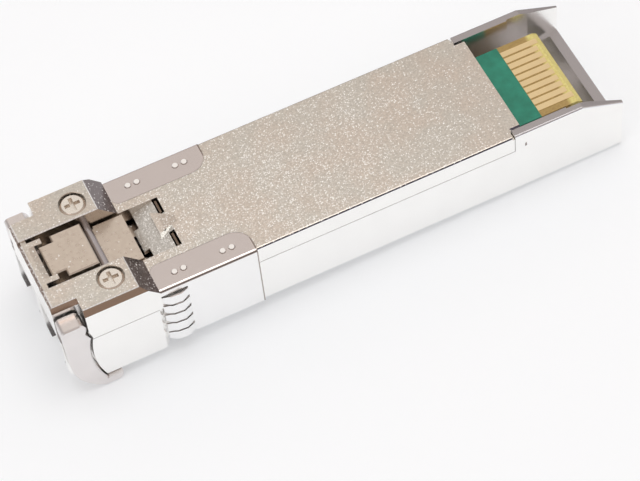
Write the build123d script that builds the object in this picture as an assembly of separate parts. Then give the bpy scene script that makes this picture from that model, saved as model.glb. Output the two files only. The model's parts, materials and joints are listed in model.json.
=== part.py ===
from build123d import *
import os
from math import acos, asin, cos, pi, radians, sin, sqrt

# Pluggable duplex optical transceiver, lying with its latch side up and its release bail closed.
# Working datum: x = 0 at the latch shoulder, growing towards the edge connector, y = 0 on the
# centre plane, and z = 0 on the latch side of the body. The last section moves everything so
# that the origin is under the middle of the module, on the surface that it lies on.

# Body
body_width = 13.4
body_height = 8.5
body_rear = 45.0
body_seam = 2.25
body_wall = 0.8
plate_thick = 1.0
floor_thick = 0.8
body_edge = 0.5
top_edge = 0.2
seam_groove = 0.07
label_recess = 0.15
label_front = 9.0
label_rear = 43.0
label_half = 6.0
plate_rear = 34.6
stop_x = -2.5

# Rear skirts and rear wall
skirt_front = 33.6
skirt_gap = 0.05
skirt_notch = 0.22
skirt_notch_depth = 0.35
skirt_edge = 0.2
skirt_pit_x = 34.6
skirt_pit_width = 0.2
skirt_pit_z = -2.0
skirt_pit_height = 0.6
skirt_pit_depth = 0.15
tongue_gap = 0.12
tongue_bevel = 0.15
lip_gap = 0.05
skirt_kink_x = 40.7
skirt_end_drop = 1.85
skirt_thick = 0.7
skirt_relief_x = 39.3
skirt_relief = 0.15
skirt_lead_x = 41.6
skirt_lead = 0.35
rear_wall_thick = 1.0
rear_wall_top = -5.3

# Nose
nose_front = -12.25
nose_step = 0.25
nose_bottom = -9.25
nose_seam = 2.55
nose_edge = 0.4
nose_corner = 2.2
nose_heel = 0.6
ear_top = 2.0
ear_bevel_drop = 0.85
ear_bevel = 0.38
ear_slope_top_x = -4.3
ear_front_bevel = 0.3
lip_bevel = 0.3
ear_inner_bevel = 0.12
slot_half = 2.93
slot_floor = -1.95
slot_rear = -3.4
notch_x = -9.7
ear_notch = 1.7
ear_tip_bevel = 0.22
cheek_recess = 0.95
lip_gap_y = 0.48
lip_top = 1.95
lip_bottom = 1.15
lip_flat_rear = -11.55
lip_rear = -10.95
lip_fall = 0.2
lip_wall = 0.35
lip_arm_rear = -10.2
lip_arm_clear = 0.17
web_top = 1.7
web_depth = 0.8

# Duplex connector ports
port_pitch = 6.25
port_size = 4.7
port_roof = 0.4
port_end = -3.2
key_width = 3.0
key_depth = 1.0
bulkhead_thick = 1.0

# Latch boss and its sloping land
boss_half = 1.3
boss_length = 2.0
boss_end_half = 0.35
boss_end_top = 0.02
boss_top = 0.45
boss_flat = 0.55
land_front = -1.8
land_side_front = -1.25
land_mid_half = 1.27
land_drop = 1.3
land_rear = 1.4
land_thick = 0.45
window_inner = 1.1
rail_depth = 0.6
rail_width = 0.8

# Ground collar
collar_rear = 7.2
collar_step = 0.15
collar_thick = 0.15
collar_bend = 0.3
collar_gap = 0.03
flap_inner = 3.9
flap_front_radius = 0.8
flap_rear_radius = 1.8
finger_root = 0.13
finger_pitch = 1.46
finger_width = 1.2
finger_root_width = 1.02
finger_tip_width = 0.85
finger_first = 0.77
finger_joint = 0.05
side_fingers = 5
wide_fingers = 8
finger_bulge = 0.35
finger_tuck = 0.12
groove_depth = 0.45
label_groove = 0.2
groove_length = 1.3
dimple_radius = 0.36
dimple_height = 0.12
dimple_bevel = 0.1
dimple_sides = 8
dimple_y = 5.4
dimple_gap = 0.9
dimple_xs = (0.0, 4.8)

# Release bail
bail_proud = 0.15
bail_clear = 0.15
bail_under_clear = 0.15
hub_x = -11.15
hub_z = -0.6
hub_radius = 1.3
hub_flat = 1.05
hub_clear = 0.2
hub_blend_angle = -35.0
bail_front = -12.1
bail_curve_z = -5.6
bail_curve_radius = 5.73
bail_bottom = -10.4
bail_edge = 0.15
bar_front_rise = 0.5
bar_front_run = 0.75
bar_rear = -7.5
bar_rear_rise = 0.4
bar_rear_run = 0.3
cheek_top_x = -9.65
cheek_top_z = -2.3
cheek_waist_x = -9.93
cheek_waist_z = -5.4
cheek_heel_x = -8.95
bail_rear_gap = 0.2
shaft_radius = 0.4
shaft_clear = 0.05
shaft_inset = 0.5
cam_ring = 0.62
cam_reach = 0.9
cam_tip = 0.28
cam_angle = 60.0
cam_side_clear = 0.2

# Rocker that lifts the cage's latch off the boss
rocker_clear = 0.23
rocker_front_gap = 0.3
rocker_notch_x = -9.3
rocker_front_half = 1.7
rocker_side_gap = 0.5
rocker_top = 1.8
rocker_plate = 0.9
rocker_web = 0.5
rocker_bevel = 0.12
rocker_step_x = -6.3
pin_x = -5.75
pin_z = 0.4
pin_radius = 0.4
pin_clear = 0.05
pin_depth = 0.7
middle_front = -5.15
middle_rear = -2.25
middle_top = 0.0
middle_thick = 0.6
arm_inner = 1.3
arm_side_clear = 0.18
arm_top = -2.15
arm_thick = 0.4
arm_web = 0.6
arm_setback = 0.25
tip_front = 1.0
tip_rear = 1.2
tip_top = -0.2
tip_gap = 0.15
ledge_front = -10.35
ledge_rear = -9.5
ledge_top = -0.91
ledge_thick = 0.45
spring_thick = 0.2
spring_half = 0.9
spring_foot_x = -6.9
spring_bend_x = -9.9
spring_bend_rise = 1.0
spring_bend_run = 0.3
spring_end_x = -7.3
spring_tip_length = 0.6
spring_bend_radius = 0.3
spring_gap = 0.02

# Screws through the ears
screw_x = -6.1
screw_y = 4.55
screw_head_radius = 1.22
screw_head_edge = 0.2
screw_head_height = 0.8
screw_head_sink = 0.1
screw_radius = 0.7
screw_length = 2.9
screw_clear = 0.1
screw_fit = 0.02
recess_width = 0.38
recess_length = 1.5
recess_depth = 0.5
pillar_half = 1.2
pillar_clear = 0.1
pillar_top = -0.6

# Circuit board and its edge contacts
board_front = 9.0
board_rear = 41.8
board_side_gap = 0.2
board_tail_half = 4.6
board_tail_x = 33.2
board_top = -1.75
board_thick = 1.0
board_bevel = 0.5
board_bevel_drop = 0.3
contact_count = 10
contact_pitch = 0.8
contact_width = 0.6
contact_front = 37.5
contact_rear = 41.0
contact_thick = 0.05
seat_xs = (11.0, 29.0)
seat_length = 2.0
seat_width = 1.0

# Optical subassemblies
barrel_tip = -7.2
barrel_radius = 1.55
barrel_bore = 0.63
barrel_bore_end = -3.9
ferrule_radius = 0.62
ferrule_tip = -5.4
barrel_clear = 0.05
flange_gap = 0.1
flange_thick = 1.2
can_gap = 0.2
can_rear = 6.3
flex_side_inset = 0.5
flex_thick = 0.15
flex_lap = 1.9
flex_inset = 0.6
flex_high = 1.2
flex_run = 1.2
flex_radius = 0.35
flex_gap = 0.01
clamp_thick = 0.25
clamp_drop = 0.15
clamp_side_gap = 0.1
clamp_foot_half = 0.5

# Parts on the board
chip_height = 0.75
driver_size = 3.0
driver_gap = 2.1
driver_y = -2.6
amplifier_y = 2.6
controller_size = 4.0
controller_pitch = 8.5
capacitor_length = 1.0
capacitor_width = 0.5
capacitor_height = 0.5
capacitor_seat_gap = 1.3
capacitor_front_gap = 2.0
capacitor_rear_gap = 1.8
capacitor_pitch = 1.6
pad_thick = 0.7

# Worked out from the sizes above
body_half = body_width / 2
nose_width = body_width + 2 * nose_step
nose_half = nose_width / 2
bail_half = nose_half + bail_proud
cheek_inner = nose_half - cheek_recess
ear_tip_half = nose_half - ear_notch
hub_inner = ear_tip_half + hub_clear
shaft_half = bail_half - shaft_inset
lip_half = slot_half - lip_gap_y
lip_arm_inner = rocker_front_half + lip_arm_clear
rocker_front = lip_rear + rocker_front_gap
rocker_half = slot_half - rocker_side_gap
middle_half = slot_half - rocker_clear
arm_outer = slot_half - arm_side_clear
cam_low = rocker_front_half + cam_side_clear
cam_high = slot_half - cam_side_clear
window_front = tip_front - tip_gap
collar_width = body_width + 2 * collar_step
collar_half = collar_width / 2
finger_length = finger_root - stop_x - finger_joint
skin_half = collar_half - collar_thick - collar_gap
skin_low = -body_height + collar_thick + collar_gap
inner_half = body_half - body_wall
seat_inner = inner_half - seat_width
capacitor_y = seat_inner - capacitor_seat_gap
board_half = inner_half - board_side_gap
skirt_inner = body_half - skirt_thick
seam_x = skirt_front - skirt_gap
floor_top = -body_height + floor_thick
port_top = -nose_seam - port_roof
port_bottom = port_top - port_size
axis_z = port_top - port_size / 2
axis_y = port_pitch / 2
axis_room = min(axis_z - floor_top, inner_half - axis_y)
flange_radius = axis_room - flange_gap
can_radius = axis_room - can_gap
flex_low = can_radius - flex_inset
flex_width = 2 * (can_radius - flex_side_inset)
bulkhead_rear = port_end + bulkhead_thick
saddle_top = port_top - clamp_drop
land_slope = land_drop / (land_rear - land_front)
board_bottom = board_top - board_thick
contact_rear_long = board_rear - board_bevel
driver_x = board_front + flex_lap + driver_gap + driver_size / 2
controller_x = driver_x + controller_pitch
capacitor_front_x = driver_x + driver_size / 2 + capacitor_front_gap
capacitor_rear_x = controller_x + controller_size / 2 + capacitor_rear_gap
bar_top = nose_bottom - bail_under_clear
screw_top = ear_top - screw_head_sink
screw_seat = screw_top - screw_head_height
past = 1.0


# Helpers
def block(x, y, z):
    """A box between the low and high value of each pair."""
    centre = Pos((x[0] + x[1]) / 2, (y[0] + y[1]) / 2, (z[0] + z[1]) / 2)
    return centre * Box(x[1] - x[0], y[1] - y[0], z[1] - z[0])


def side_solid(edges, y):
    """Extrude an outline of edges in the plane y = 0 from y[0] to y[1]."""
    return extrude(Pos(0, y[0], 0) * make_face(edges), y[1] - y[0], dir=(0, 1, 0))


def side_prism(points, y):
    """Extrude a polygon of x and z pairs from y[0] to y[1]."""
    return side_solid(Polyline([(x, 0, z) for x, z in points], close=True), y)


def plan_prism(points, z):
    """Extrude a polygon of x and y pairs from z[0] to z[1]."""
    face = make_face(Polyline([(x, y, z[0]) for x, y in points], close=True))
    return extrude(face, z[1] - z[0], dir=(0, 0, 1))


def end_prism(points, x):
    """Extrude a polygon of y and z pairs from x[0] to x[1]."""
    face = make_face(Polyline([(x[0], y, z) for y, z in points], close=True))
    return extrude(face, x[1] - x[0], dir=(1, 0, 0))


def rod_x(radius, x, y, z):
    """A cylinder along x."""
    return Pos((x[0] + x[1]) / 2, y, z) * Rot(0, 90, 0) * Cylinder(radius, x[1] - x[0])


def rod_y(radius, y, x, z):
    """A cylinder along y."""
    return Pos(x, (y[0] + y[1]) / 2, z) * Rot(90, 0, 0) * Cylinder(radius, y[1] - y[0])


def rod_z(radius, z, x, y):
    """A cylinder along z."""
    return Pos(x, y, (z[0] + z[1]) / 2) * Cylinder(radius, z[1] - z[0])


def with_mirror(solid):
    """A solid and its mirror image across the centre plane, joined."""
    return solid + mirror(solid, Plane.XZ)


def lines(points):
    """Straight edges through x and z pairs in the plane y = 0."""
    return [Line((a[0], 0, a[1]), (b[0], 0, b[1])) for a, b in zip(points, points[1:])]


def arc(start, middle, end):
    """A circular edge through three x and z pairs in the plane y = 0."""
    return ThreePointArc(*[(x, 0, z) for x, z in (start, middle, end)])


# Base casting, the half on the latch side
def body_plate():
    """The wide plate with its two low side walls, and its tongue between the skirts."""
    full = block((stop_x, seam_x), (-body_half, body_half), (-body_seam, 0))
    full = fillet(full.edges().filter_by(Axis.X).group_by(Axis.Z)[-1], top_edge)
    notch = block((seam_x - skirt_notch, seam_x), (skirt_inner, body_half), (-skirt_notch_depth, 0))
    full -= with_mirror(notch)
    hollow = block((stop_x, plate_rear), (-inner_half, inner_half), (-body_seam, -plate_thick))
    tongue_half = skirt_inner - skirt_relief - tongue_gap
    tongue = block((seam_x, plate_rear), (-tongue_half, tongue_half), (-plate_thick, 0))
    tongue = chamfer(tongue.edges().filter_by(Axis.X).group_by(Axis.Z)[-1], tongue_bevel)
    lip_z = (board_top + lip_gap, -plate_thick)
    end_lip = block((plate_rear - body_wall, plate_rear), (-seat_inner, seat_inner), lip_z)
    return full - hollow + tongue + end_lip


def seam_line():
    """Shallow groove along the base's lower edge, where the two castings meet."""
    body_z = (-body_seam, seam_groove - body_seam)
    nose_z = (-nose_seam, seam_groove - nose_seam)
    sides = block((stop_x, seam_x), (body_half - seam_groove, body_half), body_z)
    sides += block((nose_front, stop_x), (nose_half - seam_groove, nose_half), nose_z)
    return with_mirror(sides) + block((nose_front, nose_front + seam_groove), (-nose_half, nose_half), nose_z)


def collar_seat():
    """What the folded collar takes from the castings: its own thickness and the finger grooves."""
    low_z = -body_height - past
    x = (stop_x, collar_rear + collar_gap)
    core_z = (skin_low, -collar_thick - collar_gap)
    core = block((stop_x - past, collar_rear + past), (-skin_half, skin_half), core_z)
    core = fillet(core.edges().filter_by(Axis.X), collar_bend - collar_thick)
    zone = block(x, (-nose_half - past, nose_half + past), (low_z, past))
    shell = (zone - core) & with_mirror(flap_plan(collar_gap, low_z))
    flat_half = skin_half - collar_bend
    under = block(x, (-flat_half, flat_half), (low_z, skin_low))
    groove_x = (stop_x, stop_x + groove_length)
    groove_top = collar_gap - finger_first
    groove = block(groove_x, (skin_half - groove_depth, nose_half + past), (low_z, groove_top))
    label = block(groove_x, (-skin_half, skin_half), (low_z, skin_low + label_groove))
    return shell + under + with_mirror(groove) + label


def flap_plan(grow, low_z):
    """Plan of one latch side flap of the collar grown by a clearance, reaching down to low_z."""
    inner = flap_inner - grow
    rear = collar_rear + grow
    flap = block((stop_x, rear), (inner, nose_half + past), (low_z, past))
    edges = flap.edges().filter_by(Axis.Z).group_by(Axis.Y)[0].sort_by(Axis.X)
    flap = fillet(edges[0], flap_front_radius)
    edges = flap.edges().filter_by(Axis.Z).sort_by(Axis.X)[-2:].sort_by(Axis.Y)
    return fillet(edges[0], flap_rear_radius)


def nose_top():
    """The two screw ears, and the slot floor between them."""
    bevel = ear_top - ear_front_bevel
    profile = [(nose_front, -nose_seam), (nose_front, bevel), (nose_front + ear_front_bevel, ear_top),
               (ear_slope_top_x, ear_top), (stop_x, 0), (stop_x, -nose_seam)]
    ear = side_prism(profile, (slot_half, nose_half))
    ear -= edge_cut(nose_half, -ear_bevel, ear_bevel_drop, (nose_front, stop_x))
    ear -= edge_cut(slot_half, ear_inner_bevel, ear_inner_bevel, (nose_front, stop_x))
    ear -= side_solid(notch_edges(), (ear_tip_half, nose_half))
    ear -= edge_cut(ear_tip_half, -ear_tip_bevel, ear_bevel_drop, (nose_front, notch_x))
    ear -= rod_y(shaft_radius + shaft_clear, (slot_half, nose_half), hub_x, hub_z)
    ear -= rod_z(screw_head_radius + screw_clear, (screw_seat, ear_top), screw_x, screw_y)
    ear -= rod_z(screw_radius + screw_clear, (pillar_top, ear_top), screw_x, screw_y)
    ear -= screw_pillar(screw_y, pillar_clear)
    floor = block((nose_front, slot_rear), (-slot_half, slot_half), (-nose_seam, slot_floor))
    top = with_mirror(ear) + floor
    return top - rod_y(pin_radius, (-slot_half - pin_depth, nose_half), pin_x, pin_z)


def screw_pillar(y, grow):
    """Square pillar under an ear that its screw goes into, grown by a clearance."""
    half = pillar_half + grow
    return block((screw_x - half, screw_x + half), (y - half, y + half), (-nose_seam, pillar_top + grow))


def edge_cut(y, across, drop, x):
    """Wedge that bevels the ear's top edge at y, reaching across the top and down by a drop."""
    away = y - past if across > 0 else y + past
    return end_prism([(y + across, ear_top), (y, ear_top - drop), (away, ear_top)], x)


def front_lip():
    """Lip ahead of the rocker with an arm on each side of it, on a web that joins both ears."""
    wall_x = nose_front + lip_wall
    bevel_x = nose_front + lip_bevel
    lip = side_prism([(nose_front, slot_floor), (nose_front, lip_top - lip_bevel), (bevel_x, lip_top),
                      (lip_flat_rear, lip_top), (lip_rear, lip_top - lip_fall), (lip_rear, lip_bottom),
                      (wall_x, lip_bottom), (wall_x, slot_floor)], (-lip_half, lip_half))
    web_rear = nose_front + web_depth
    web = side_prism([(nose_front, slot_floor), (nose_front, web_top - lip_bevel), (bevel_x, web_top),
                      (web_rear, web_top), (web_rear, lip_bottom), (wall_x, lip_bottom),
                      (wall_x, slot_floor)], (-slot_half, slot_half))
    arm = block((lip_flat_rear, lip_arm_rear), (lip_arm_inner, lip_half), (lip_bottom, lip_top))
    return lip + web + with_mirror(arm)


def notch_edges():
    """Side outline of the space that the bail's cheek turns in."""
    ahead = nose_front - past
    above = ear_top + past
    below = nose_bottom - past
    top = (cheek_top_x + bail_rear_gap, cheek_top_z)
    heel_x = cheek_heel_x + bail_rear_gap
    corners = [(heel_x, bar_top), (heel_x, below), (ahead, below), (ahead, above), (notch_x, above),
               (notch_x, hub_z - hub_radius / 2), top]
    return lines(corners) + [cheek_rear_arc(bail_rear_gap)]


def cheek_rear_arc(gap):
    """Rear edge of the bail's cheek from under its hub to the bar, moved back by a gap."""
    waist = (cheek_waist_x + gap, cheek_waist_z)
    return arc((cheek_top_x + gap, cheek_top_z), waist, (cheek_heel_x + gap, bar_top))


def land_z(x):
    """Height of the land's top at x."""
    return (x - land_rear) * land_slope


def land_slab(front, half):
    top = land_z(front)
    outline = [(front, top), (land_rear, 0), (land_rear, -land_thick), (front, top - land_thick)]
    return side_prism(outline, (-half, half))


def boss_land():
    """The sloping land with its triangular boss, the windows beside it and the rails under its sides."""
    land = land_slab(land_front, land_mid_half) + land_slab(land_side_front, slot_half)
    window = block((window_front, land_rear), (window_inner, slot_half), (-plate_thick, 0))
    rail_z = (-plate_thick - rail_depth, -plate_thick)
    rail = block((stop_x, land_rear), (slot_half, slot_half + rail_width), rail_z)
    boss_plan = [(0, -boss_half), (boss_length, -boss_end_half), (boss_length, boss_end_half), (0, boss_half)]
    boss = plan_prism(boss_plan, (-plate_thick, boss_top))
    ramp = [(boss_flat, boss_top), (boss_length, boss_end_top), (boss_length, past), (boss_flat, past)]
    boss -= side_prism(ramp, (-boss_half, boss_half))
    below = -plate_thick - past
    under = [(0, land_z(0) - land_thick), (land_rear, -land_thick), (land_rear, below), (0, below)]
    boss -= side_prism(under, (-boss_half, boss_half))
    return land - with_mirror(window) + with_mirror(rail) + boss


def base_casting():
    plate = body_plate()
    plate -= block((stop_x, land_rear), (-slot_half, slot_half), (-plate_thick, 0))
    base = plate + nose_top() + front_lip() + boss_land() - collar_seat() - seam_line()
    for x in seat_xs:
        seat = block((x, x + seat_length), (seat_inner, inner_half), (board_top, -plate_thick))
        base += with_mirror(seat)
    return base


# Cover casting, the half on the label side
def cover_body():
    """Deep tray with tall skirts at its rear, a raised deck between them and the board's posts."""
    shell = block((stop_x, body_rear), (-body_half, body_half), (-body_height, -body_seam))
    shell = fillet(shell.edges().filter_by(Axis.X).group_by(Axis.Z)[0], body_edge)
    deck_front = body_rear - rear_wall_thick
    shell -= block((stop_x, deck_front), (-inner_half, inner_half), (floor_top, -body_seam))
    skirt_profile = [(skirt_front, -body_height / 2), (skirt_front, 0), (skirt_kink_x, 0),
                     (body_rear, -skirt_end_drop), (body_rear, -body_height / 2)]
    skirt = side_prism(skirt_profile, (skirt_inner - skirt_relief, body_half))
    rim = skirt.faces().sort_by(Axis.Y)[-1].edges().sort_by(Axis.Z)[-2:]
    shell += with_mirror(fillet(rim, skirt_edge))
    shell -= block((skirt_relief_x, body_rear), (-skirt_inner, skirt_inner), (rear_wall_top, 0))
    lead_end = skirt_inner + skirt_lead
    lead = [(skirt_lead_x, 0), (skirt_lead_x, skirt_inner), (body_rear, lead_end), (body_rear, 0)]
    shell -= with_mirror(plan_prism(lead, (rear_wall_top, 0)))
    pit = block((skirt_pit_x, skirt_pit_x + skirt_pit_width), (body_half - skirt_pit_depth, body_half),
                (skirt_pit_z, skirt_pit_z + skirt_pit_height))
    shell -= with_mirror(pit)
    label_z = (-body_height, -body_height + label_recess)
    shell -= block((label_front, label_rear), (-label_half, label_half), label_z)
    for x in seat_xs:
        post = block((x, x + seat_length), (seat_inner, inner_half), (floor_top, board_bottom))
        shell += with_mirror(post)
    half = driver_size / 2
    spreader_y = (driver_y - half, amplifier_y + half)
    spreader_top = board_bottom - chip_height - pad_thick
    return shell + block((driver_x - half, driver_x + half), spreader_y, (floor_top, spreader_top))


def nose_under():
    """Lower half of the nose with the two ports and the pillars that the screws go into."""
    nose = block((nose_front, stop_x), (-nose_half, nose_half), (nose_bottom, -nose_seam))
    cross_edges = nose.edges().filter_by(Axis.Y).group_by(Axis.Z)[0].sort_by(Axis.X)
    nose = fillet(cross_edges[0], nose_corner)
    heel = nose.edges().filter_by(Axis.Y).group_by(Axis.Z)[0].sort_by(Axis.X)[-1]
    nose = fillet(heel, nose_heel)
    nose = chamfer(nose.edges().filter_by(Axis.X).group_by(Axis.Z)[0], nose_edge)
    nose -= with_mirror(side_solid(notch_edges(), (cheek_inner, nose_half)))
    nose -= block((port_end, stop_x), (-inner_half, inner_half), (floor_top, -nose_seam))
    half = port_size / 2
    key_half = key_width / 2
    for y in (-axis_y, axis_y):
        nose -= block((nose_front, port_end), (y - half, y + half), (port_bottom, port_top))
        key_z = (port_bottom - key_depth, port_bottom)
        nose -= block((nose_front, port_end), (y - key_half, y + key_half), key_z)
    for y in (-screw_y, screw_y):
        nose += screw_pillar(y, 0)
        nose -= rod_z(screw_radius + screw_fit, (screw_seat - screw_length, pillar_top), screw_x, y)
    return nose


def barrel_seat(y):
    """Round bed of a barrel, open at its top."""
    radius = barrel_radius + barrel_clear
    bed = rod_x(radius, (port_end, bulkhead_rear), y, axis_z)
    return bed + block((port_end, bulkhead_rear), (y - radius, y + radius), (axis_z, saddle_top))


def cover_casting():
    """Body and nose, with the wall behind the ports that the barrels lie in."""
    wall = block((port_end, bulkhead_rear), (-inner_half, inner_half), (floor_top, saddle_top))
    cover = cover_body() + nose_under() - collar_seat() + wall
    return cover - barrel_seat(-axis_y) - barrel_seat(axis_y)


# Ground collar, one folded sheet
def finger_points():
    """Outer line of a finger as pairs of x and rise, from its root to its tucked tip."""
    shares = [(0.0, 0.0), (0.3, 1.0), (0.68, 0.8)]
    points = [(finger_root - share * finger_length, rise * finger_bulge) for share, rise in shares]
    return [(finger_root + finger_joint, 0.0)] + points + [(finger_root - finger_length, -finger_tuck)]


def finger_petal(middle):
    """Outline of a finger seen square on, as pairs of x and place across, narrow at both ends."""
    tip = finger_root - finger_length
    waist = finger_root - finger_length * 0.25
    shoulder = finger_root - finger_length * 0.8
    edge = [(finger_root + finger_joint, finger_root_width / 2), (waist, finger_width / 2),
            (shoulder, finger_width / 2), (tip, finger_tip_width / 2)]
    return [(x, middle + half) for x, half in edge] + [(x, middle - half) for x, half in reversed(edge)]


def side_finger(middle):
    """A finger on the side at positive y, around a height."""
    points = finger_points()
    outline = [(x, collar_half + rise) for x, rise in points]
    outline += [(x, collar_half + rise - collar_thick) for x, rise in reversed(points)]
    sheet = plan_prism(outline, (middle - finger_width / 2, middle + finger_width / 2))
    return sheet & side_prism(finger_petal(middle), (0, collar_half + past))


def label_finger(middle):
    """A finger on the label side, around a place across the module."""
    points = finger_points()
    outline = [(x, -body_height - rise) for x, rise in points]
    outline += [(x, -body_height - rise + collar_thick) for x, rise in reversed(points)]
    sheet = side_prism(outline, (middle - finger_width / 2, middle + finger_width / 2))
    return sheet & plan_prism(finger_petal(middle), (-body_height - past, 0))


def dimple():
    """Low stamped boss with a faceted wall, bevelled to its flat crown."""
    boss = extrude(RegularPolygon(dimple_radius, dimple_sides), dimple_height)
    return chamfer(boss.edges().group_by(Axis.Z)[-1], dimple_bevel)


def emi_collar():
    outer = block((stop_x, collar_rear), (-collar_half, collar_half), (-body_height, 0))
    outer = fillet(outer.edges().filter_by(Axis.X), collar_bend)
    inner_y = collar_half - collar_thick
    inner = block((stop_x, collar_rear), (-inner_y, inner_y), (-body_height + collar_thick, -collar_thick))
    ring = outer - fillet(inner.edges().filter_by(Axis.X), collar_bend - collar_thick)
    flap_zone = block((stop_x, collar_rear), (0, collar_half), (-finger_first, 0))
    flaps = with_mirror(ring & flap_plan(0, -past) & flap_zone)
    wall_zone = block((finger_root, collar_rear), (-collar_half, collar_half), (-body_height, -finger_first))
    collar = flaps + (ring & wall_zone)
    first_middle = -finger_first - finger_pitch + finger_width / 2
    for index in range(side_fingers):
        collar += with_mirror(side_finger(first_middle - index * finger_pitch))
    for index in range(wide_fingers):
        collar += label_finger((index - (wide_fingers - 1) / 2) * finger_pitch)
    for x in dimple_xs:
        for shift in (-dimple_gap / 2, dimple_gap / 2):
            collar += with_mirror(Pos(x + shift, dimple_y, 0) * dimple())
    return collar


# Release bail
def cheek_edges():
    """Side outline of a cheek with its front curve, the bar and its rear edge, closed inside the hub."""
    curve_x = bail_front + bail_curve_radius
    turn = asin((bail_curve_z - bail_bottom - bar_front_rise) / bail_curve_radius)

    def on_curve(angle):
        return (curve_x - bail_curve_radius * cos(angle), bail_curve_z - bail_curve_radius * sin(angle))

    curve_end = on_curve(turn)
    bar = [curve_end, (curve_end[0] + bar_front_run, bail_bottom), (bar_rear - bar_rear_run, bail_bottom),
           (bar_rear, bail_bottom + bar_rear_rise), (bar_rear, bar_top), (cheek_heel_x, bar_top)]
    blend = radians(hub_blend_angle)
    hub_rear = (hub_x + hub_radius * cos(blend), hub_z + hub_radius * sin(blend))
    hub_front = (hub_x - hub_flat, hub_z - sqrt(hub_radius ** 2 - hub_flat ** 2))
    hub = [(cheek_top_x, cheek_top_z), hub_rear, (hub_x, hub_z), hub_front, on_curve(0)]
    return [arc(on_curve(0), on_curve(turn / 2), curve_end)] + lines(bar) + [cheek_rear_arc(0)] + lines(hub)


def bail_hub():
    """Hub with its top and its front cut flat."""
    y = (hub_inner, bail_half)
    flats = block((hub_x - hub_flat, hub_x + hub_radius), y, (hub_z - hub_radius, hub_z + hub_flat))
    return rod_y(hub_radius, y, hub_x, hub_z) & flats


def bail():
    inner = cheek_inner + bail_clear
    bar_zone = block((nose_front, bar_rear), (0, inner), (bail_bottom, bar_top))
    half = side_solid(cheek_edges(), (inner, bail_half)) + bail_hub()
    rim = half.faces().sort_by(Axis.Y)[-1].edges()
    half = chamfer([edge for edge in rim if abs(edge.center().Z - bar_top) > bail_edge], bail_edge)
    half += side_solid(cheek_edges(), (0, inner)) & bar_zone
    half -= rod_y(shaft_radius, (0, shaft_half), hub_x, hub_z)
    return with_mirror(half)


def bail_shaft():
    return rod_y(shaft_radius, (-shaft_half, shaft_half), hub_x, hub_z)


def release_cam():
    """A ring on the shaft with one rounded lobe that bears down on the rocker's ledge."""
    lobe = radians(cam_angle)
    spread = acos((cam_ring - cam_tip) / cam_reach)

    def on_ring(angle):
        return (hub_x + cam_ring * cos(angle), hub_z + cam_ring * sin(angle))

    def on_tip(angle):
        centre_x = hub_x + cam_reach * cos(lobe)
        centre_z = hub_z + cam_reach * sin(lobe)
        return (centre_x + cam_tip * cos(angle), centre_z + cam_tip * sin(angle))

    low = lobe - spread
    high = lobe + spread
    tip = arc(on_tip(low), on_tip(lobe), on_tip(high))
    ring = arc(on_ring(high), on_ring(lobe + pi), on_ring(low))
    sides = lines([on_tip(high), on_ring(high)]) + lines([on_ring(low), on_tip(low)])
    cam = side_solid([tip, ring] + sides, (cam_low, cam_high))
    return cam - rod_y(shaft_radius, (cam_low, cam_high), hub_x, hub_z)


def release_cams():
    cam = release_cam()
    return [cam, mirror(cam, Plane.XZ)]


# Rocker, its pin and its spring
def rocker_plates():
    """Front plate with its shoulders, and the lower plate behind the pin."""
    plate_z = (rocker_top - rocker_plate, rocker_top)
    plate = block((rocker_front, rocker_step_x), (-rocker_front_half, rocker_front_half), plate_z)
    plate += block((rocker_notch_x, rocker_step_x), (-rocker_half, rocker_half), plate_z)
    plate = chamfer(plate.edges().group_by(Axis.Z)[-1], rocker_bevel)
    saddle_x = (rocker_step_x - rocker_web, middle_front)
    middle_low = middle_top - middle_thick
    saddle = block(saddle_x, (-rocker_half, rocker_half), (middle_low, plate_z[0]))
    middle = block((middle_front, middle_rear), (-middle_half, middle_half), (middle_low, middle_top))
    return plate + saddle + middle


def rocker_ledge():
    """Web under the front plate with the ledge that a cam bears down on, at positive y."""
    low = ledge_top - ledge_thick
    inner = rocker_front_half - rocker_web
    web = block((ledge_front, rocker_step_x), (inner, rocker_front_half), (low, rocker_top - rocker_plate))
    return web + block((ledge_front, ledge_rear), (inner, middle_half), (low, ledge_top))


def rocker_arm():
    """Arm from the lower plate to the window beside the boss, with its raised tip, at positive y."""
    rear = middle_rear - arm_setback
    across = (arm_inner, arm_outer)
    low = arm_top - arm_thick
    drop = block((rear - arm_web, rear), across, (low, middle_top - middle_thick))
    run = block((rear - arm_web, tip_rear), across, (low, arm_top))
    return drop + run + block((tip_front, tip_rear), across, (low, tip_top))


def rocker():
    body = rocker_plates() + with_mirror(rocker_ledge() + rocker_arm())
    groove = pin_radius + pin_clear
    across = (-slot_half, slot_half)
    body -= rod_y(groove, across, pin_x, pin_z)
    body -= block((pin_x - groove, pin_x + groove), across, (pin_z, rocker_top))
    return body - block((pin_x, middle_front), across, (middle_top, rocker_top))


def rocker_pin():
    return rod_y(pin_radius, (-slot_half - pin_depth, slot_half + pin_depth), pin_x, pin_z)


def rocker_spring():
    """Hairpin leaf between the slot floor and the underside of the rocker's front plate."""
    low = slot_floor + spring_thick / 2
    high = rocker_top - rocker_plate - spring_thick / 2 - spring_gap
    bend = ((spring_bend_x, 0, low), (spring_bend_x + spring_bend_run, 0, low + spring_bend_rise))
    tip = ((spring_end_x - spring_tip_length, 0, high), (spring_end_x, 0, high))
    path = FilletPolyline((spring_foot_x, 0, low), *bend, *tip, radius=spring_bend_radius)
    start = Plane(origin=(spring_foot_x, 0, low), x_dir=(0, 1, 0), z_dir=(-1, 0, 0))
    return sweep(start * Rectangle(spring_half * 2, spring_thick), path=path)


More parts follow.
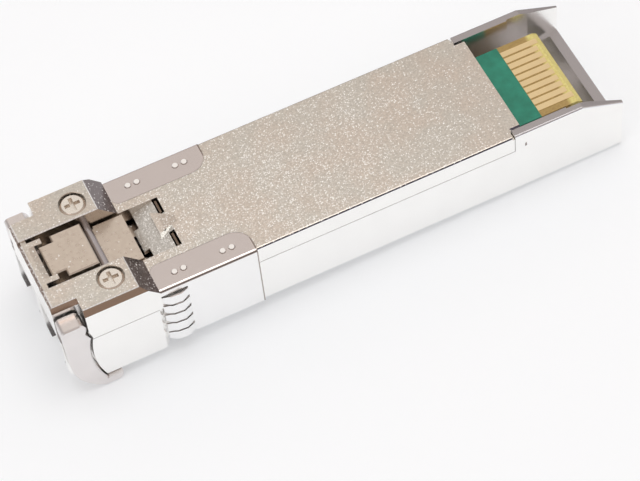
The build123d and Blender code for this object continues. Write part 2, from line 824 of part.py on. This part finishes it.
# Screws
def nose_screw(side):
    y = side * screw_y
    head = rod_z(screw_head_radius, (screw_seat, screw_top), screw_x, y)
    head = chamfer(head.edges().group_by(Axis.Z)[-1], screw_head_edge)
    shank = rod_z(screw_radius, (screw_seat - screw_length, screw_seat), screw_x, y)
    half_width = recess_width / 2
    half_length = recess_length / 2
    recess_z = (screw_top - recess_depth, screw_top)
    cross = block((-half_length, half_length), (-half_width, half_width), recess_z)
    cross += block((-half_width, half_width), (-half_length, half_length), recess_z)
    return head + shank - Pos(screw_x, y, 0) * cross


def nose_screws():
    return [nose_screw(-1), nose_screw(1)]


# Circuit board
def circuit_board():
    body = block((board_front, board_tail_x), (-board_half, board_half), (board_bottom, board_top))
    tail_profile = [(board_tail_x, board_bottom), (board_rear - board_bevel, board_bottom),
                    (board_rear, board_bottom + board_bevel_drop), (board_rear, board_top - board_bevel_drop),
                    (board_rear - board_bevel, board_top), (board_tail_x, board_top)]
    return body + side_prism(tail_profile, (-board_tail_half, board_tail_half))


def edge_contacts(z_low):
    """One row of contact pads, the outermost of them longer."""
    pads = []
    for index in range(contact_count):
        y = (index - (contact_count - 1) / 2) * contact_pitch
        rear = contact_rear_long if index in (0, contact_count - 1) else contact_rear
        pads.append(block((contact_front, rear), (y - contact_width / 2, y + contact_width / 2),
                          (z_low, z_low + contact_thick)))
    return pads


# Optical subassemblies
def osa_barrel(y):
    """Turned sleeve and flange with the ferrule's bore."""
    barrel = rod_x(barrel_radius, (barrel_tip, bulkhead_rear), y, axis_z)
    barrel += rod_x(flange_radius, (bulkhead_rear, bulkhead_rear + flange_thick), y, axis_z)
    return barrel - rod_x(barrel_bore, (barrel_tip, barrel_bore_end), y, axis_z)


def osa_ferrule(y):
    return rod_x(ferrule_radius, (ferrule_tip, barrel_bore_end), y, axis_z)


def osa_can(y):
    return rod_x(can_radius, (bulkhead_rear + flange_thick, can_rear), y, axis_z)


def osa_flex(y):
    """Flexible circuit from the can's rear face up to the label side of the board."""
    high = board_bottom - flex_thick / 2 - flex_gap
    start = can_rear + flex_thick / 2
    path = FilletPolyline((start, y, axis_z - flex_low), (start, y, axis_z + flex_high),
                          (start + flex_run, y, high), (board_front + flex_lap, y, high),
                          radius=flex_radius)
    section = Plane(origin=(start, y, axis_z - flex_low), z_dir=(0, 0, 1)) * Rectangle(flex_thick, flex_width)
    return sweep(section, path=path)


def osa_clamp():
    """Sheet plate over both barrels, with a foot turned down behind the saddle wall."""
    top = port_top + clamp_thick
    half = inner_half - clamp_side_gap
    plate = block((port_end, bulkhead_rear), (-half, half), (port_top, top))
    foot_x = (bulkhead_rear, bulkhead_rear + clamp_thick)
    return plate + block(foot_x, (-clamp_foot_half, clamp_foot_half), (axis_z, top))


# Parts on the board
def chip(x, y, size):
    half = size / 2
    return block((x - half, x + half), (y - half, y + half), (board_bottom - chip_height, board_bottom))


def board_capacitors():
    half = capacitor_width / 2
    z = (board_bottom - capacitor_height, board_bottom)
    pieces = []
    for front in (capacitor_front_x, capacitor_rear_x):
        for x in (front, front + capacitor_pitch):
            for y in (-capacitor_y, capacitor_y):
                pieces.append(block((x, x + capacitor_length), (y - half, y + half), z))
    return pieces


def thermal_pad():
    top = board_bottom - chip_height
    half = driver_size / 2
    y = (driver_y - half, amplifier_y + half)
    return block((driver_x - half, driver_x + half), y, (top - pad_thick, top))


# Write every piece, moved to the surface that the module lies on
def main():
    os.makedirs("parts", exist_ok=True)
    to_origin = Pos(-(nose_front + body_rear) / 2, 0, -bail_bottom)
    pieces = {
        "base_casting": base_casting(),
        "cover_casting": cover_casting(),
        "emi_collar": emi_collar(),
        "bail": bail(),
        "bail_shaft": bail_shaft(),
        "release_cams": release_cams(),
        "rocker": rocker(),
        "rocker_pin": rocker_pin(),
        "rocker_spring": rocker_spring(),
        "nose_screws": nose_screws(),
        "circuit_board": circuit_board(),
        "latch_side_contacts": edge_contacts(board_top),
        "label_side_contacts": edge_contacts(board_bottom - contact_thick),
        "osa_clamp": osa_clamp(),
        "laser_driver": chip(driver_x, driver_y, driver_size),
        "limiting_amplifier": chip(driver_x, amplifier_y, driver_size),
        "controller": chip(controller_x, 0, controller_size),
        "board_capacitors": board_capacitors(),
        "thermal_pad": thermal_pad(),
    }
    for name, y in (("tosa", -axis_y), ("rosa", axis_y)):
        pieces[name + "_barrel"] = osa_barrel(y)
        pieces[name + "_ferrule"] = osa_ferrule(y)
        pieces[name + "_can"] = osa_can(y)
        pieces[name + "_flex"] = osa_flex(y)
    for name, piece in pieces.items():
        solids = piece if isinstance(piece, list) else [piece]
        moved = [to_origin * solid for solid in solids]
        shape = moved[0] if len(moved) == 1 else Compound(moved)
        export_step(shape, os.path.join("parts", name + ".step"))


main()
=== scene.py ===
import json

import bpy
from mathutils import Matrix, Vector


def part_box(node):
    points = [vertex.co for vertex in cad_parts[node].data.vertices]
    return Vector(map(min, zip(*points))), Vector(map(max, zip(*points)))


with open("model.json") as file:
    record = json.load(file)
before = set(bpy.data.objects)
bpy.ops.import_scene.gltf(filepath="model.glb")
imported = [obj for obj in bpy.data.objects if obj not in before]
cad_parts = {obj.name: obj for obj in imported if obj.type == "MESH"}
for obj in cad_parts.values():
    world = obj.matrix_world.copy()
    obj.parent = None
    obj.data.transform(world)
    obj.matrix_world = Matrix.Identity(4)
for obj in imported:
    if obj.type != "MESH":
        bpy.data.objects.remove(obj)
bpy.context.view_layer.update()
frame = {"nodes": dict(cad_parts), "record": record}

# Metres in a millimetre
MM = 0.001

# Places that the finishes and the floor follow
nose_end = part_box("emi_collar")[0].x
collar_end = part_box("emi_collar")[1].x
body_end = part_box("cover_casting")[1].x
plate_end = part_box("base_casting")[1].x
ear_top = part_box("base_casting")[1].z
# Height above which the collar's dimple tops get a painted highlight
dimple_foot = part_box("emi_collar")[1].z - 0.05 * MM
arm_start = nose_end + 0.6 * MM
land_end = nose_end + 3.9 * MM
contact_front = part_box("latch_side_contacts")[0].x
contact_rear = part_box("latch_side_contacts")[1].x
mount_places = {mount["name"]: mount["pos_m"] for mount in frame["record"]["mounts"]}
label_side_height = mount_places["label_side_face"][2]

# Colour of painted glints and painted highlights on edges, bevels and dimple tops
WHITE = (0.97, 0.965, 0.95, 1)

# How level a face is, by the Z of its normal: each kind begins in its own range
LEANING = (0.12, 0.25)
SPARKLING = (0.45, 0.60)
LEVEL = (0.78, 0.88)
SHEET_LEANING = (0.10, 0.25)
SHEET_LEVEL = (0.70, 0.80)

# Which way a face leans, by the X of its normal
FORWARDS = (-0.45, -0.30)
LAND = (-0.30, -0.22)
REARWARDS = (0.30, 0.45)


# Node helpers
def new_material(name):
    """A material with its nodes, its links and its Principled shader."""
    material = bpy.data.materials.new(name)
    material.use_nodes = True
    nodes = material.node_tree.nodes
    return material, nodes, material.node_tree.links, nodes["Principled BSDF"]


def surface_vectors(nodes):
    """Place and normal of a surface point in the object's own space."""
    coordinate = nodes.new("ShaderNodeTexCoord")
    return coordinate.outputs["Object"], coordinate.outputs["Normal"]


def split(nodes, links, vector):
    """The X, Y and Z of a vector."""
    node = nodes.new("ShaderNodeSeparateXYZ")
    links.new(vector, node.inputs["Vector"])
    return node.outputs["X"], node.outputs["Y"], node.outputs["Z"]


def noise(nodes, links, vector, scale, detail=2.0, roughness=0.5):
    """Cloudy noise around 0.5, with scale waves in a metre."""
    node = nodes.new("ShaderNodeTexNoise")
    node.inputs["Scale"].default_value = scale
    node.inputs["Detail"].default_value = detail
    node.inputs["Roughness"].default_value = roughness
    links.new(vector, node.inputs["Vector"])
    return node.outputs["Fac"]


def remap(nodes, links, value, low, high, to_low=0.0, to_high=1.0):
    """Value moved from the range low to high into the range to_low to to_high, and held inside it."""
    node = nodes.new("ShaderNodeMapRange")
    node.inputs["From Min"].default_value = low
    node.inputs["From Max"].default_value = high
    node.inputs["To Min"].default_value = to_low
    node.inputs["To Max"].default_value = to_high
    links.new(value, node.inputs["Value"])
    return node.outputs["Result"]


def clouds(nodes, links, vector, scale, detail=2.0, roughness=0.5, low=0.3, high=0.7):
    """Noise whose middle range, low to high, is stretched to 0 to 1."""
    return remap(nodes, links, noise(nodes, links, vector, scale, detail, roughness), low, high)


def combine(nodes, links, operation, first, second):
    """The result of an operation on two values, each a number or a socket."""
    node = nodes.new("ShaderNodeMath")
    node.operation = operation
    for socket, value in zip(node.inputs, (first, second)):
        if isinstance(value, float):
            socket.default_value = value
        else:
            links.new(value, socket)
    return node.outputs["Value"]


def multiply(nodes, links, *factors):
    """The product of several values."""
    product = factors[0]
    for factor in factors[1:]:
        product = combine(nodes, links, "MULTIPLY", product, factor)
    return product


def absolute(nodes, links, value):
    """A value without its sign."""
    node = nodes.new("ShaderNodeMath")
    node.operation = "ABSOLUTE"
    links.new(value, node.inputs[0])
    return node.outputs["Value"]


def mix_color(nodes, links, factor, first, second, blend="MIX"):
    """Colour from first, at factor 0, to second, at factor 1; each is a colour or a socket."""
    node = nodes.new("ShaderNodeMix")
    node.data_type = "RGBA"
    node.blend_type = blend
    sockets = (node.inputs["Factor"], node.inputs[6], node.inputs[7])
    for socket, value in zip(sockets, (factor, first, second)):
        if isinstance(value, (float, tuple)):
            socket.default_value = value
        else:
            links.new(value, socket)
    return node.outputs[2]


def bump(nodes, links, height, strength, distance):
    """Relief from a height."""
    node = nodes.new("ShaderNodeBump")
    node.inputs["Strength"].default_value = strength
    node.inputs["Distance"].default_value = distance
    links.new(height, node.inputs["Height"])
    return node.outputs["Normal"]


def shaded(color, factor):
    """A colour made darker or lighter."""
    return tuple(min(1.0, channel * factor) for channel in color[:3]) + (1,)


def flecks(nodes, links, place, scale, radius, density, weakest):
    """Painted glints: small bright dots, one in each cell, kept where chance and density add up, of
    varied strength.
    """
    cells = nodes.new("ShaderNodeTexVoronoi")
    cells.inputs["Scale"].default_value = scale
    links.new(place, cells.inputs["Vector"])
    draws = nodes.new("ShaderNodeSeparateColor")
    links.new(cells.outputs["Color"], draws.inputs["Color"])
    chance, strength = draws.outputs["Red"], draws.outputs["Green"]
    dot = remap(nodes, links, cells.outputs["Distance"], radius * 0.6, radius, 1.0, 0.0)
    chosen = remap(nodes, links, combine(nodes, links, "ADD", chance, density), 1.0, 1.08)
    shine = remap(nodes, links, strength, 0.0, 1.0, weakest, 1.0)
    return multiply(nodes, links, dot, chosen, shine)


# Smooth metal
def plated(name, color, roughness, cloudy=0.03, grain=0.03, top=None, slope=None, raised=None, end=None):
    """Smooth plated or rolled metal with a cloudy tone and a fine grain.

    Where top and slope are given, level faces and bevelled edges get colours of their own as painted
    reflection and shade, and the bevels towards +Y get a painted white highlight. What lies above the
    height raised gets a painted highlight, and the cut edge at end is dark.
    """
    cut_tone = (0.34, 0.29, 0.26, 1)
    material, nodes, links, shader = new_material(name)
    place, normal = surface_vectors(nodes)
    x, _, z = split(nodes, links, place)
    _, turn, rise = split(nodes, links, normal)
    cloud = clouds(nodes, links, place, scale=420.0, detail=3.0)
    fine = noise(nodes, links, place, scale=2400.0, roughness=0.6)
    shade = mix_color(nodes, links, cloud, shaded(color, 1 - cloudy), shaded(color, 1 + cloudy))
    # Painted reflection and shade on bevels: the slope colour on those facing -Y, a painted white
    # highlight on those facing +Y
    if slope:
        sided = mix_color(nodes, links, remap(nodes, links, turn, -0.2, 0.2), slope, WHITE)
        shade = mix_color(nodes, links, remap(nodes, links, rise, *SHEET_LEANING), shade, sided)
    # Painted reflection: level faces take the top colour
    if top:
        level = mix_color(nodes, links, cloud, shaded(top, 1 - cloudy), shaded(top, 1 + cloudy))
        shade = mix_color(nodes, links, remap(nodes, links, rise, *SHEET_LEVEL), shade, level)
    if end:
        cut = remap(nodes, links, x, end - 0.14 * MM, end - 0.07 * MM)
        shade = mix_color(nodes, links, cut, shade, cut_tone)
    # Painted highlight on what lies above the height raised
    if raised:
        painted_raised_highlight = remap(nodes, links, z, raised, raised + 0.03 * MM)
        shade = mix_color(nodes, links, painted_raised_highlight, shade, WHITE)
        links.new(remap(nodes, links, painted_raised_highlight, 0.0, 1.0, 1.0, 0.5), shader.inputs["Metallic"])
    else:
        shader.inputs["Metallic"].default_value = 1.0
    rough = remap(nodes, links, fine, 0.3, 0.7, roughness - 0.015, roughness + 0.015)
    links.new(shade, shader.inputs["Base Color"])
    links.new(rough, shader.inputs["Roughness"])
    links.new(bump(nodes, links, fine, grain, 0.004 * MM), shader.inputs["Normal"])
    return material


# Cast and plated metal
def casting_sides(nodes, links, place, turn):
    """Steep faces: pale outside, with painted shade on the walls of the rocker's slot."""
    outside = (0.98, 0.97, 0.95, 1)
    # Painted shade colour for the walls of the rocker's slot
    slot = (0.50, 0.44, 0.39, 1)
    wall_near, wall_far = 2.75 * MM, 3.10 * MM
    x, y, _ = split(nodes, links, place)
    cloud = clouds(nodes, links, place, scale=300.0, detail=3.0)
    outer = mix_color(nodes, links, cloud, shaded(outside, 0.985), shaded(outside, 1.015))
    apart = absolute(nodes, links, y)
    slot_wall_shade = multiply(nodes, links, remap(nodes, links, absolute(nodes, links, turn), 0.80, 0.90),
                    remap(nodes, links, apart, wall_near, wall_near + 0.05 * MM),
                    remap(nodes, links, apart, wall_far - 0.05 * MM, wall_far, 1.0, 0.0),
                    remap(nodes, links, x, land_end, land_end + 0.2 * MM, 1.0, 0.0))
    return mix_color(nodes, links, slot_wall_shade, outer, slot)


def casting_slope_shading(nodes, links, lean, body):
    """Bevels and slopes: painted reflection and shade, one tone each for the ears' sides, the body's
    edges, the front and the rear.
    """
    # These tones are painted reflection and shade, not colours of the metal
    ear_bevel = (0.27, 0.18, 0.13, 1)
    body_edge = (0.13, 0.12, 0.16, 1)
    front = (0.42, 0.34, 0.30, 1)
    rear = (0.20, 0.17, 0.17, 1)
    sideways = mix_color(nodes, links, body, ear_bevel, body_edge)
    forwards = mix_color(nodes, links, remap(nodes, links, lean, *FORWARDS), front, sideways)
    return mix_color(nodes, links, remap(nodes, links, lean, *REARWARDS), forwards, rear)


def casting_top(nodes, links, place, land, mottle):
    """Level faces: grey-green and pink patches under a grain, darker than the steep sides as a painted
    reflection, and a painted lighter tone on the sloping land.
    """
    # The hue of the patches differs at random; their level, darker than the steep sides, is a painted
    # reflection of the dim ceiling
    greener = (0.7056, 0.675, 0.6161, 1)
    pinker = (0.7272, 0.6581, 0.5856, 1)
    # Painted lighter tone where the land slopes towards the front
    painted_land_light = (0.74, 0.735, 0.70, 1)
    hue = clouds(nodes, links, place, scale=230.0, low=0.38, high=0.62)
    tint = mix_color(nodes, links, land, mix_color(nodes, links, hue, greener, pinker), painted_land_light)
    grain = mix_color(nodes, links, mottle, (0.76, 0.76, 0.76, 1), (1.0, 1.0, 1.0, 1))
    return mix_color(nodes, links, 1.0, tint, grain, blend="MULTIPLY")


def casting_glints(nodes, links, place, land, body):
    """Painted glints: small bright dots, fewer on the ears, towards the rear end and towards one side."""
    x, y, _ = split(nodes, links, place)
    along = remap(nodes, links, x, 4.0 * MM, plate_end, 1.0, 0.3)
    across = remap(nodes, links, y, 3.0 * MM, 6.2 * MM, 1.0, 0.6)
    patches = remap(nodes, links, noise(nodes, links, place, scale=160.0), 0.35, 0.65, 0.7, 1.0)
    ears = remap(nodes, links, body, 0.0, 1.0, 0.45, 1.0)
    thinned = multiply(nodes, links, along, across, patches, ears)
    density = combine(nodes, links, "MAXIMUM", thinned, land)
    fine = flecks(nodes, links, place, 6200.0, 0.50, multiply(nodes, links, density, 0.80), weakest=0.25)
    bold = flecks(nodes, links, place, 3300.0, 0.34, multiply(nodes, links, density, 0.50), weakest=0.6)
    return combine(nodes, links, "MAXIMUM", fine, bold)


def casting_finish():
    """Smooth steep sides, slopes in painted reflection and shade, and a grainy top in a darker painted
    reflection tone, with painted glints and a painted highlight along the ears' upper edge.
    """
    material, nodes, links, shader = new_material("casting_nickel")
    place, normal = surface_vectors(nodes)
    x, _, z = split(nodes, links, place)
    lean, turn, rise = split(nodes, links, normal)
    leaning = remap(nodes, links, rise, *LEANING)
    level = remap(nodes, links, rise, *LEVEL)
    land = remap(nodes, links, lean, *LAND, 1.0, 0.0)
    body = remap(nodes, links, x, nose_end - 0.2 * MM, nose_end + 0.2 * MM)
    mottle = clouds(nodes, links, place, scale=5600.0, roughness=0.7)

    sides = casting_sides(nodes, links, place, turn)
    lower = mix_color(nodes, links, leaning, sides, casting_slope_shading(nodes, links, lean, body))
    shade = mix_color(nodes, links, level, lower, casting_top(nodes, links, place, land, mottle))

    # Painted glints on the level faces
    painted_sparkle = multiply(nodes, links, casting_glints(nodes, links, place, land, body),
                       remap(nodes, links, rise, *SPARKLING))
    # Painted highlight along the ears' upper edge
    rim_highlight = multiply(nodes, links, leaning, remap(nodes, links, rise, *LEVEL, 1.0, 0.0),
                   remap(nodes, links, z, ear_top - 0.16 * MM, ear_top - 0.09 * MM),
                   remap(nodes, links, mottle, 0.0, 1.0, 0.6, 1.0))
    # bright holds the painted glints and the painted highlight
    bright = combine(nodes, links, "MAXIMUM", painted_sparkle, rim_highlight)

    relief = multiply(nodes, links, combine(nodes, links, "ADD", mottle, bright), level)
    links.new(mix_color(nodes, links, bright, shade, WHITE), shader.inputs["Base Color"])
    links.new(remap(nodes, links, bright, 0.0, 1.0, 1.0, 0.15), shader.inputs["Metallic"])
    links.new(remap(nodes, links, level, 0.0, 1.0, 0.24, 0.34), shader.inputs["Roughness"])
    links.new(bump(nodes, links, relief, 0.3, 0.02 * MM), shader.inputs["Normal"])
    return material


def rocker_finish():
    """Plated rocker: satin top with a few painted glints, and painted shade on the tips where the arms
    reach into the windows.
    """
    material, nodes, links, shader = new_material("rocker_nickel")
    place, _ = surface_vectors(nodes)
    x, _, _ = split(nodes, links, place)
    mottle = clouds(nodes, links, place, scale=2400.0, roughness=0.6)
    plate = mix_color(nodes, links, mottle, (0.635, 0.56, 0.485, 1), (0.67, 0.595, 0.515, 1))
    # Painted shade on the arm tips inside the windows
    dark = mix_color(nodes, links, mottle, (0.17, 0.13, 0.10, 1), (0.23, 0.18, 0.145, 1))
    shade = mix_color(nodes, links, remap(nodes, links, x, arm_start, arm_start + 0.3 * MM), plate, dark)
    # Painted glints
    bright = flecks(nodes, links, place, 3000.0, 0.30, 0.15, weakest=0.5)
    links.new(mix_color(nodes, links, bright, shade, WHITE), shader.inputs["Base Color"])
    links.new(remap(nodes, links, bright, 0.0, 1.0, 1.0, 0.3), shader.inputs["Metallic"])
    links.new(remap(nodes, links, mottle, 0.0, 1.0, 0.26, 0.34), shader.inputs["Roughness"])
    links.new(bump(nodes, links, bright, 0.1, 0.005 * MM), shader.inputs["Normal"])
    return material


# Finishes that aren't metal
def moulded(name, color, other, roughness):
    """Plastic, ceramic, film or rubber with a slight mottle between two colours."""
    material, nodes, links, shader = new_material(name)
    place, _ = surface_vectors(nodes)
    cloud = noise(nodes, links, place, scale=900.0, detail=3.0)
    shade = mix_color(nodes, links, remap(nodes, links, cloud, 0.3, 0.7), color, other)
    rough = remap(nodes, links, cloud, 0.3, 0.7, roughness - 0.04, roughness + 0.06)
    links.new(shade, shader.inputs["Base Color"])
    links.new(rough, shader.inputs["Roughness"])
    links.new(bump(nodes, links, cloud, 0.15, 0.02 * MM), shader.inputs["Normal"])
    return material


def board_laminate():
    """Green mask, brown laminate between the contacts, and paler laminate at the bevelled tip."""
    material, nodes, links, shader = new_material("board_laminate")
    place, _ = surface_vectors(nodes)
    x, _, _ = split(nodes, links, place)
    cloud = clouds(nodes, links, place, scale=900.0, detail=3.0)
    weave = clouds(nodes, links, place, scale=5000.0)
    mask = mix_color(nodes, links, cloud, (0.014, 0.19, 0.125, 1), (0.022, 0.26, 0.175, 1))
    between = mix_color(nodes, links, weave, (0.34, 0.22, 0.07, 1), (0.42, 0.29, 0.10, 1))
    tip = mix_color(nodes, links, weave, (0.62, 0.53, 0.17, 1), (0.74, 0.66, 0.26, 1))
    towards_tip = remap(nodes, links, x, contact_rear - 0.9 * MM, contact_rear - 0.5 * MM)
    bare = mix_color(nodes, links, towards_tip, between, tip)
    unmasked = remap(nodes, links, x, contact_front - 0.03 * MM, contact_front + 0.03 * MM)
    links.new(mix_color(nodes, links, unmasked, mask, bare), shader.inputs["Base Color"])
    links.new(remap(nodes, links, unmasked, 0.0, 1.0, 0.3, 0.5), shader.inputs["Roughness"])
    links.new(bump(nodes, links, weave, 0.08, 0.005 * MM), shader.inputs["Normal"])
    return material


# Cover: the dark top and pale bevels are painted reflection and shade
cover_plating = plated("cover_nickel", (0.98, 0.972, 0.955, 1), roughness=0.25, cloudy=0.01, grain=0.01,
                       top=(0.47, 0.455, 0.47, 1), slope=(0.90, 0.90, 0.93, 1))
# Collar: the darker top and the dark -Y and white +Y bevels are painted reflection and shade; the dimple
# tops above dimple_foot get a painted highlight
collar_plating = plated("collar_sheet", (0.96, 0.955, 0.95, 1), roughness=0.24, cloudy=0.01, grain=0.015,
                        top=(0.70, 0.655, 0.645, 1), slope=(0.36, 0.30, 0.27, 1),
                        raised=dimple_foot, end=collar_end)
bail_plating = plated("bail_nickel", (0.80, 0.765, 0.755, 1), roughness=0.24)
# Screws: the pale top and darker sides are painted light and shade
screw_plating = plated("screw_nickel", (0.62, 0.54, 0.47, 1), roughness=0.26, top=(0.90, 0.87, 0.81, 1))
pin_metal = plated("ground_steel", (0.50, 0.48, 0.50, 1), roughness=0.22)
spring_metal = plated("spring_strip", (0.55, 0.53, 0.51, 1), roughness=0.25)
gold = plated("contact_gold", (0.90, 0.72, 0.42, 1), roughness=0.30, cloudy=0.04)
can_gold = plated("can_gold", (0.82, 0.63, 0.28, 1), roughness=0.28, cloudy=0.05)
ferrule = moulded("ferrule_zirconia", (0.85, 0.85, 0.82, 1), (0.9, 0.9, 0.88, 1), roughness=0.2)
film = moulded("flex_film", (0.42, 0.18, 0.04, 1), (0.48, 0.22, 0.06, 1), roughness=0.3)
epoxy = moulded("chip_moulding", (0.02, 0.02, 0.022, 1), (0.035, 0.035, 0.037, 1), roughness=0.5)
fired = moulded("capacitor_body", (0.36, 0.24, 0.14, 1), (0.42, 0.28, 0.17, 1), roughness=0.45)
silicone = moulded("pad_silicone", (0.22, 0.27, 0.34, 1), (0.26, 0.31, 0.38, 1), roughness=0.7)

looks = {
    "base_casting": casting_finish(),
    "cover_casting": cover_plating,
    "emi_collar": collar_plating,
    "bail": bail_plating,
    "bail_shaft": pin_metal,
    "release_cams": pin_metal,
    "rocker": rocker_finish(),
    "rocker_pin": pin_metal,
    "rocker_spring": spring_metal,
    "nose_screws": screw_plating,
    "circuit_board": board_laminate(),
    "latch_side_contacts": gold,
    "label_side_contacts": gold,
    "tosa_barrel": pin_metal,
    "rosa_barrel": pin_metal,
    "tosa_can": can_gold,
    "rosa_can": can_gold,
    "tosa_ferrule": ferrule,
    "rosa_ferrule": ferrule,
    "tosa_flex": film,
    "rosa_flex": film,
    "osa_clamp": spring_metal,
    "laser_driver": epoxy,
    "limiting_amplifier": epoxy,
    "controller": epoxy,
    "board_capacitors": fired,
    "thermal_pad": silicone,
}
for name, material in looks.items():
    for slot in frame["nodes"][name].material_slots:
        slot.material = material


# Floor: the module leans on the bail's bar and on the lower edge of its rear end
def lights_camera(nodes, links):
    """1 for rays that come from the camera, a mirror or glass, and 0 for those that carry light."""
    path = nodes.new("ShaderNodeLightPath")
    seen = combine(nodes, links, "MAXIMUM", path.outputs["Is Camera Ray"], path.outputs["Is Glossy Ray"])
    return combine(nodes, links, "MAXIMUM", seen, path.outputs["Is Transmission Ray"])


def floor_finish():
    """White floor that keeps the shadow."""
    base = (0.665, 0.695, 0.73, 1)
    glow = 0.29
    material, nodes, links, shader = new_material("stage_floor")
    shader.inputs["Base Color"].default_value = base
    shader.inputs["Roughness"].default_value = 1.0
    shader.inputs["Specular IOR Level"].default_value = 0.0
    shader.inputs["Emission Color"].default_value = (1, 1, 1, 1)
    glowing = multiply(nodes, links, lights_camera(nodes, links), glow)
    links.new(glowing, shader.inputs["Emission Strength"])
    return material


floor_reach = 1.2
floor_gap = 0.02 * MM
bar_foot = -24.2 * MM
floor_slope = label_side_height / (body_end - bar_foot)
floor_mesh = bpy.data.meshes.new("floor")
outline = ((-floor_reach, -floor_reach), (floor_reach, -floor_reach),
           (floor_reach, floor_reach), (-floor_reach, floor_reach))
corners = [(x, y, (x - bar_foot) * floor_slope - floor_gap) for x, y in outline]
floor_mesh.from_pydata(corners, [], [(0, 1, 2, 3)])
floor_mesh.materials.append(floor_finish())
floor = bpy.data.objects.new("floor", floor_mesh)
bpy.context.scene.collection.objects.link(floor)


# Light
def studio_world():
    """Warm ceiling, dim horizon and a dark card in front; the camera itself sees plain white."""
    card_tone = (0.06, 0.05, 0.06, 1)
    plain_white = (1.0, 1.0, 1.0, 1)
    # Heights in the ramp: 0.5 is the horizon and 1 is straight up
    sky_steps = ((0.515, (0.38, 0.36, 0.36, 1)), (0.60, (0.45, 0.41, 0.39, 1)),
                 (0.68, (0.70, 0.64, 0.60, 1)), (0.93, (0.74, 0.67, 0.62, 1)))
    world = bpy.data.worlds.new("studio")
    world.use_nodes = True
    nodes = world.node_tree.nodes
    links = world.node_tree.links
    coordinate = nodes.new("ShaderNodeTexCoord")
    x, y, z = split(nodes, links, coordinate.outputs["Generated"])
    ramp = nodes.new("ShaderNodeValToRGB")
    links.new(remap(nodes, links, z, -1.0, 1.0), ramp.inputs["Fac"])
    stops = ramp.color_ramp.elements
    stops[0].position = 0.50
    stops[0].color = plain_white
    stops[1].position = 1.0
    stops[1].color = (1.0, 0.99, 0.97, 1)
    for height, color in sky_steps:
        stops.new(height).color = color
    # The card's two sides, its distance, its lower edge and its upper edge
    card = multiply(nodes, links, remap(nodes, links, absolute(nodes, links, x), 0.5, 0.6, 1.0, 0.0),
                    remap(nodes, links, y, -0.70, -0.60, 1.0, 0.0),
                    remap(nodes, links, z, 0.0, 0.02),
                    remap(nodes, links, z, 0.42, 0.50, 1.0, 0.0))
    sky = mix_color(nodes, links, card, ramp.outputs["Color"], card_tone)
    path = nodes.new("ShaderNodeLightPath")
    seen = mix_color(nodes, links, path.outputs["Is Camera Ray"], sky, plain_white)
    links.new(seen, nodes["Background"].inputs["Color"])
    return world


def area_light(name, position, size, power, color):
    """A square light that faces the frame's origin, under the object."""
    data = bpy.data.lights.new(name, "AREA")
    data.size = size
    data.energy = power
    data.color = color
    light = bpy.data.objects.new(name, data)
    bpy.context.scene.collection.objects.link(light)
    light.location = position
    light.rotation_euler = (-Vector(position)).to_track_quat("-Z", "Y").to_euler()


bpy.context.scene.world = studio_world()
area_light("key", (0.02, -0.01, 0.50), size=0.30, power=0.70, color=(1.0, 0.995, 0.985))
area_light("fill", (-0.40, -0.20, 0.30), size=0.30, power=0.25, color=(0.97, 0.98, 1.0))

# Camera, solved from the photograph: its place, and its axes in the frame
camera_place = (-0.049220, -0.135944, 0.208611)
camera_right = (0.90057, -0.42917, -0.06914)
camera_up = (0.39119, 0.73075, 0.55944)
camera_back = (-0.18957, -0.53086, 0.82599)
camera_data = bpy.data.cameras.new("camera")
camera_data.sensor_fit = "HORIZONTAL"
camera_data.sensor_width = 36.0
camera_data.lens = 148.94
camera_data.clip_start = 0.01
camera_data.clip_end = 10.0
camera = bpy.data.objects.new("camera", camera_data)
bpy.context.scene.collection.objects.link(camera)
camera_turn = Matrix((camera_right, camera_up, camera_back)).transposed().to_4x4()
camera.matrix_world = Matrix.Translation(camera_place) @ camera_turn
bpy.context.scene.camera = camera

bpy.context.scene.view_settings.view_transform = "Standard"
